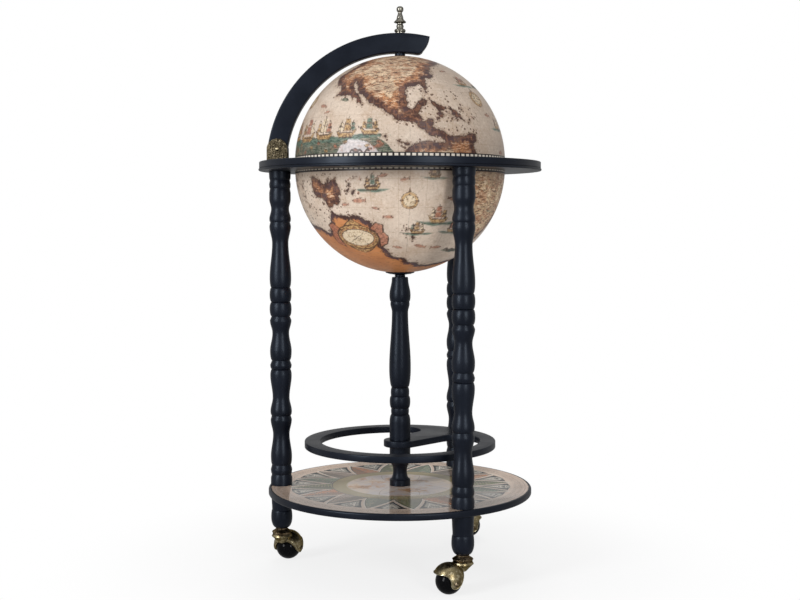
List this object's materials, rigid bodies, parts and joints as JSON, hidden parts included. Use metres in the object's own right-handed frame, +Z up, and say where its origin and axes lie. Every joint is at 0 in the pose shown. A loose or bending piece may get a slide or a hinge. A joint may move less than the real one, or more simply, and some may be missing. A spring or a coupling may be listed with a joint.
{
  "type": "floor globe bar",
  "caption": "Floor standing globe bar: hollow globe with a lid hung from a hinged arm, rack inside, horizon ring, turned legs, column, bottle ring, shelf, ball casters.",
  "frame": {"origin": "on the floor under the globe's axis, the centre of the bounding box's bottom", "axes": "+Z up along the globe's axis, -X towards the hinge, -Y towards the viewer of the picture"},
  "size_m": [0.444, 0.444, 0.8829],
  "materials": {
    "black_lacquer": "satin black lacquer on wood",
    "printed_paper": "antique style map, varnished",
    "printed_shelf": "printed compass pattern, glossy varnish",
    "dark_wood": "satin",
    "antique_brass": "antiqued, polished on its raised edges",
    "gloss_black": "glossy",
    "plain_steel": "zinc plated"
  },
  "bodies": {
    "stand": {"horizon_ring": "black_lacquer", "bottle_ring": "black_lacquer", "column_upper": "black_lacquer", "column_lower": "black_lacquer", "column_neck": "black_lacquer", "bowl_saucer": "black_lacquer", "leg_upper_1": "black_lacquer", "leg_lower_1": "black_lacquer", "leg_foot_1": "black_lacquer", "leg_upper_2": "black_lacquer", "leg_lower_2": "black_lacquer", "leg_foot_2": "black_lacquer", "leg_upper_3": "black_lacquer", "leg_lower_3": "black_lacquer", "leg_foot_3": "black_lacquer", "column_stud": "plain_steel", "column_screw": "plain_steel", "column_washer": "plain_steel", "bowl_bolt": "plain_steel", "bowl_washer": "plain_steel", "leg_top_stud_1": "plain_steel", "leg_mid_stud_1": "plain_steel", "shelf_stud_1": "plain_steel", "leg_top_stud_2": "plain_steel", "leg_mid_stud_2": "plain_steel", "shelf_stud_2": "plain_steel", "leg_top_stud_3": "plain_steel", "leg_mid_stud_3": "plain_steel", "shelf_stud_3": "plain_steel", "hinge_bracket": "antique_brass", "hinge_bolt": "antique_brass", "hinge_nut": "antique_brass", "bracket_screw_1": "antique_brass", "bracket_screw_2": "antique_brass", "caster_collar_1": "antique_brass", "caster_collar_2": "antique_brass", "caster_collar_3": "antique_brass", "bowl_shell": "printed_paper", "shelf_board": "printed_shelf", "rack_plate": "dark_wood", "rack_floor": "dark_wood"},
    "arm": {"meridian_arm": "black_lacquer", "finial": "antique_brass", "pole_spacer": "black_lacquer", "pole_bolt": "plain_steel"},
    "lid": {"lid_shell": "printed_paper", "lid_washer": "plain_steel", "pole_nut": "plain_steel"},
    "caster_1": {"caster_stem_1": "plain_steel", "caster_hood_1": "antique_brass", "caster_axle_1": "antique_brass"},
    "wheel_1": {"caster_ball_1": "gloss_black"},
    "caster_2": {"caster_stem_2": "plain_steel", "caster_hood_2": "antique_brass", "caster_axle_2": "antique_brass"},
    "wheel_2": {"caster_ball_2": "gloss_black"},
    "caster_3": {"caster_stem_3": "plain_steel", "caster_hood_3": "antique_brass", "caster_axle_3": "antique_brass"},
    "wheel_3": {"caster_ball_3": "gloss_black"}
  },
  "joints": [
    {"name": "lid_hinge", "type": "hinge", "parent": "stand", "child": "arm", "pos_m": [-0.19285, 0, 0.66], "axis": [0, -1, 0], "range_deg": [0, 85]},
    {"name": "lid_spin", "type": "hinge", "parent": "arm", "child": "lid", "pos_m": [0, 0, 0.8048], "axis": [0, 0, 1], "continuous": true},
    {"name": "caster_swivel_1", "type": "hinge", "parent": "stand", "child": "caster_1", "pos_m": [-0.1898, 0, 0.056], "axis": [0, 0, 1], "continuous": true},
    {"name": "wheel_roll_1", "type": "hinge", "parent": "caster_1", "child": "wheel_1", "pos_m": [-0.18153, 0.02232, 0.01975], "axis": [-0.9377, 0.3474, 0], "continuous": true},
    {"name": "caster_swivel_2", "type": "hinge", "parent": "stand", "child": "caster_2", "pos_m": [0.0949, -0.16437, 0.056], "axis": [0, 0, 1], "continuous": true},
    {"name": "wheel_roll_2", "type": "hinge", "parent": "caster_2", "child": "wheel_2", "pos_m": [0.07392, -0.1756, 0.01975], "axis": [0.4719, -0.8817, 0], "continuous": true},
    {"name": "caster_swivel_3", "type": "hinge", "parent": "stand", "child": "caster_3", "pos_m": [0.0949, 0.16437, 0.056], "axis": [0, 0, 1], "continuous": true},
    {"name": "wheel_roll_3", "type": "hinge", "parent": "caster_3", "child": "wheel_3", "pos_m": [0.11719, 0.17271, 0.01975], "axis": [-0.3504, 0.9366, 0], "continuous": true}
  ]
}
